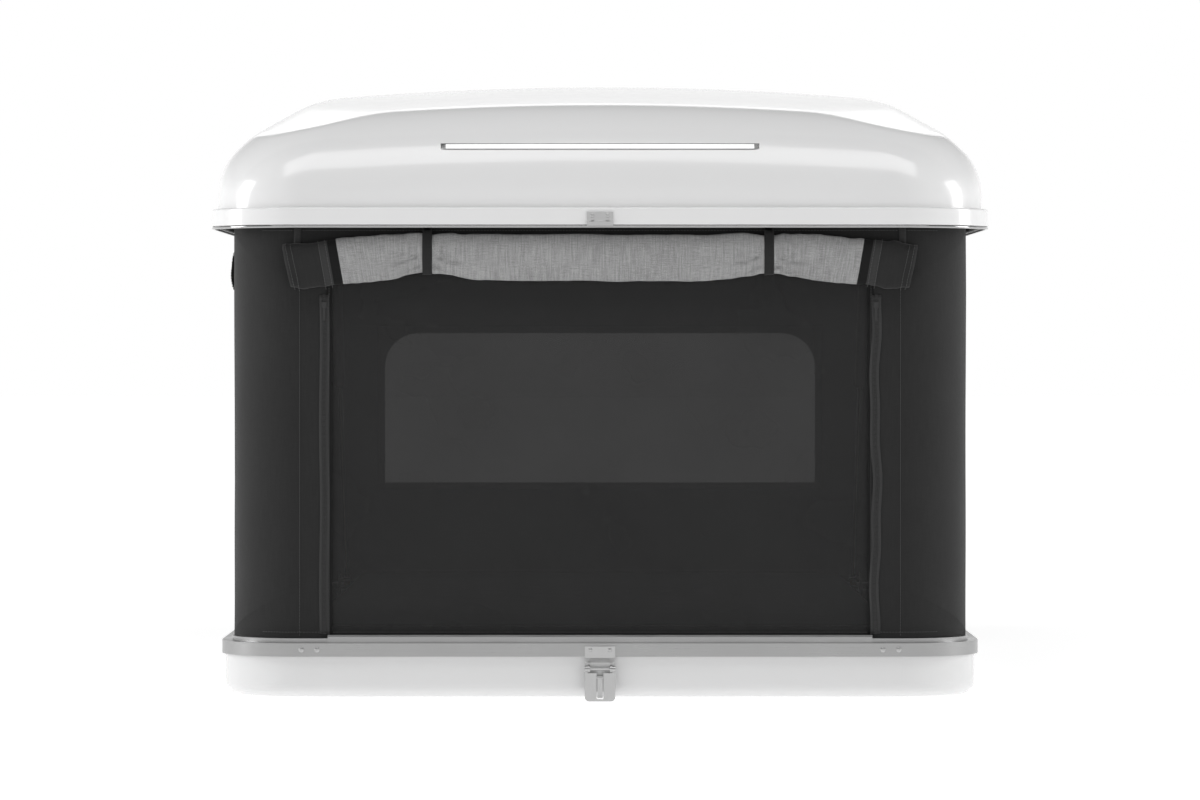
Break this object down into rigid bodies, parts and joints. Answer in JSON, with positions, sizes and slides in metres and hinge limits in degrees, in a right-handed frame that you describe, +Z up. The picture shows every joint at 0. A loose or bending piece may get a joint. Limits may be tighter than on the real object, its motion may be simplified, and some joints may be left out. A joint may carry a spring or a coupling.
{
  "type": "pop-up roof tent",
  "caption": "Hard-shell roof tent standing open: a white lid raised on gas struts over a grey canvas body with mesh openings, on a white tray with an aluminium rim and draw latches.",
  "frame": {"origin": "middle of the mounting rails' underside", "axes": "+Z up, +Y from the entrance end to the rear, +X to the right seen from the entrance"},
  "size_m": [1.3, 2.15, 1.076],
  "materials": {
    "tray_white": "gloss",
    "lid_white": "gloss",
    "floor_board": "satin",
    "band_aluminium": "satin",
    "rail_aluminium": "satin",
    "sill_grey": "satin",
    "stainless": "satin",
    "bead_grey": "gloss",
    "seal_rubber": "matte",
    "liner_cloth": "matte",
    "trim_chrome": "polished",
    "bracket_steel": "satin",
    "strut_black": "satin",
    "rod_chrome": "polished",
    "mattress_cover": "matte",
    "canvas": "matte",
    "insect_mesh": "matte",
    "flap_grey": "matte",
    "webbing": "matte",
    "zip_tape": "matte",
    "zip_metal": "satin"
  },
  "bodies": {
    "base": {"base_tray": "tray_white", "floor_panel": "floor_board", "rim_band": "band_aluminium", "rim_band_screws": "stainless", "keder_rail_lower": "band_aluminium", "sill_rail": "sill_grey", "mount_rail_left": "rail_aluminium", "mount_rail_right": "rail_aluminium", "mount_rail_bolts": "stainless", "mattress": "mattress_cover", "canvas_front": "canvas", "canvas_rear": "canvas", "canvas_left": "canvas", "canvas_right": "canvas", "mesh_door_front": "insect_mesh", "mesh_door_left": "insect_mesh", "mesh_window_rear": "insect_mesh", "door_roll_front": "flap_grey", "door_roll_left": "flap_grey", "window_roll_rear": "flap_grey", "tie_straps_front": "webbing", "tie_straps_left": "webbing", "tie_straps_rear": "webbing", "door_flap_right": "canvas", "zips_front": "zip_tape", "zips_left": "zip_tape", "zips_right": "zip_tape", "zip_pulls": "zip_metal", "strut_base_brackets": "bracket_steel", "latch_bracket_front": "stainless", "latch_bracket_rear": "stainless", "latch_pin_front": "stainless", "latch_pin_rear": "stainless", "latch_rivets": "stainless"},
    "lid": {"lid_shell": "lid_white", "lid_edge_trim": "bead_grey", "lid_frame": "band_aluminium", "lid_seal": "seal_rubber", "keder_rail_upper": "band_aluminium", "lid_liner": "liner_cloth", "lid_trim_strip": "trim_chrome", "lid_catch_front": "stainless", "lid_catch_rear": "stainless", "lid_catch_screws": "stainless", "strut_lid_brackets": "bracket_steel"},
    "front_strut_barrels": {"strut_barrel_front_left": "strut_black", "strut_barrel_front_right": "strut_black"},
    "front_strut_rods": {"strut_rod_front_left": "rod_chrome", "strut_rod_front_right": "rod_chrome"},
    "front_latch_lever": {"latch_lever_front": "stainless"},
    "front_latch_hook": {"latch_hook_front": "stainless"},
    "rear_strut_barrels": {"strut_barrel_rear_left": "strut_black", "strut_barrel_rear_right": "strut_black"},
    "rear_strut_rods": {"strut_rod_rear_left": "rod_chrome", "strut_rod_rear_right": "rod_chrome"},
    "rear_latch_lever": {"latch_lever_rear": "stainless"},
    "rear_latch_hook": {"latch_hook_rear": "stainless"}
  },
  "joints": [
    {"name": "lid_lift", "type": "slide", "parent": "base", "child": "lid", "axis": [0, 0, 1], "range_m": [-0.685, 0], "stiffness_N_per_m": 90, "springref_m": 3.5, "deforming": ["canvas_front", "canvas_rear", "canvas_left", "canvas_right", "mesh_door_front", "mesh_door_left", "mesh_window_rear", "door_roll_front", "door_roll_left", "window_roll_rear", "tie_straps_front", "tie_straps_left", "tie_straps_rear", "door_flap_right", "zips_front", "zips_left", "zips_right", "zip_pulls"]},
    {"name": "front_strut_pivot", "type": "hinge", "parent": "lid", "child": "front_strut_barrels", "pos_m": [0, -0.33, 0.95], "axis": [1, 0, 0], "range_deg": [-41.44, 0]},
    {"name": "front_strut_slide", "type": "slide", "parent": "front_strut_barrels", "child": "front_strut_rods", "axis": [0, -0.5914, -0.8063], "range_m": [-0.401, 0]},
    {"name": "front_latch_lever_turn", "type": "hinge", "parent": "base", "child": "front_latch_lever", "pos_m": [0, -1.065, 0.072], "axis": [-1, 0, 0], "range_deg": [0, 160]},
    {"name": "front_latch_hook_turn", "type": "hinge", "parent": "front_latch_lever", "child": "front_latch_hook", "pos_m": [0, -1.065, 0.058], "axis": [1, 0, 0], "range_deg": [-160, 0]},
    {"name": "rear_strut_pivot", "type": "hinge", "parent": "lid", "child": "rear_strut_barrels", "pos_m": [0, 0.33, 0.95], "axis": [1, 0, 0], "range_deg": [0, 41.44]},
    {"name": "rear_strut_slide", "type": "slide", "parent": "rear_strut_barrels", "child": "rear_strut_rods", "axis": [0, 0.5914, -0.8063], "range_m": [-0.401, 0]},
    {"name": "rear_latch_lever_turn", "type": "hinge", "parent": "base", "child": "rear_latch_lever", "pos_m": [0, 1.065, 0.072], "axis": [1, 0, 0], "range_deg": [0, 160]},
    {"name": "rear_latch_hook_turn", "type": "hinge", "parent": "rear_latch_lever", "child": "rear_latch_hook", "pos_m": [0, 1.065, 0.058], "axis": [-1, 0, 0], "range_deg": [-160, 0]}
  ],
  "couplings": [
    {"joint": "front_strut_pivot", "follows": "lid_lift", "rad_per_m": 1.0508},
    {"joint": "front_strut_slide", "follows": "lid_lift", "ratio": 0.58379},
    {"joint": "rear_strut_pivot", "follows": "lid_lift", "rad_per_m": -1.0508},
    {"joint": "rear_strut_slide", "follows": "lid_lift", "ratio": 0.58379}
  ]
}
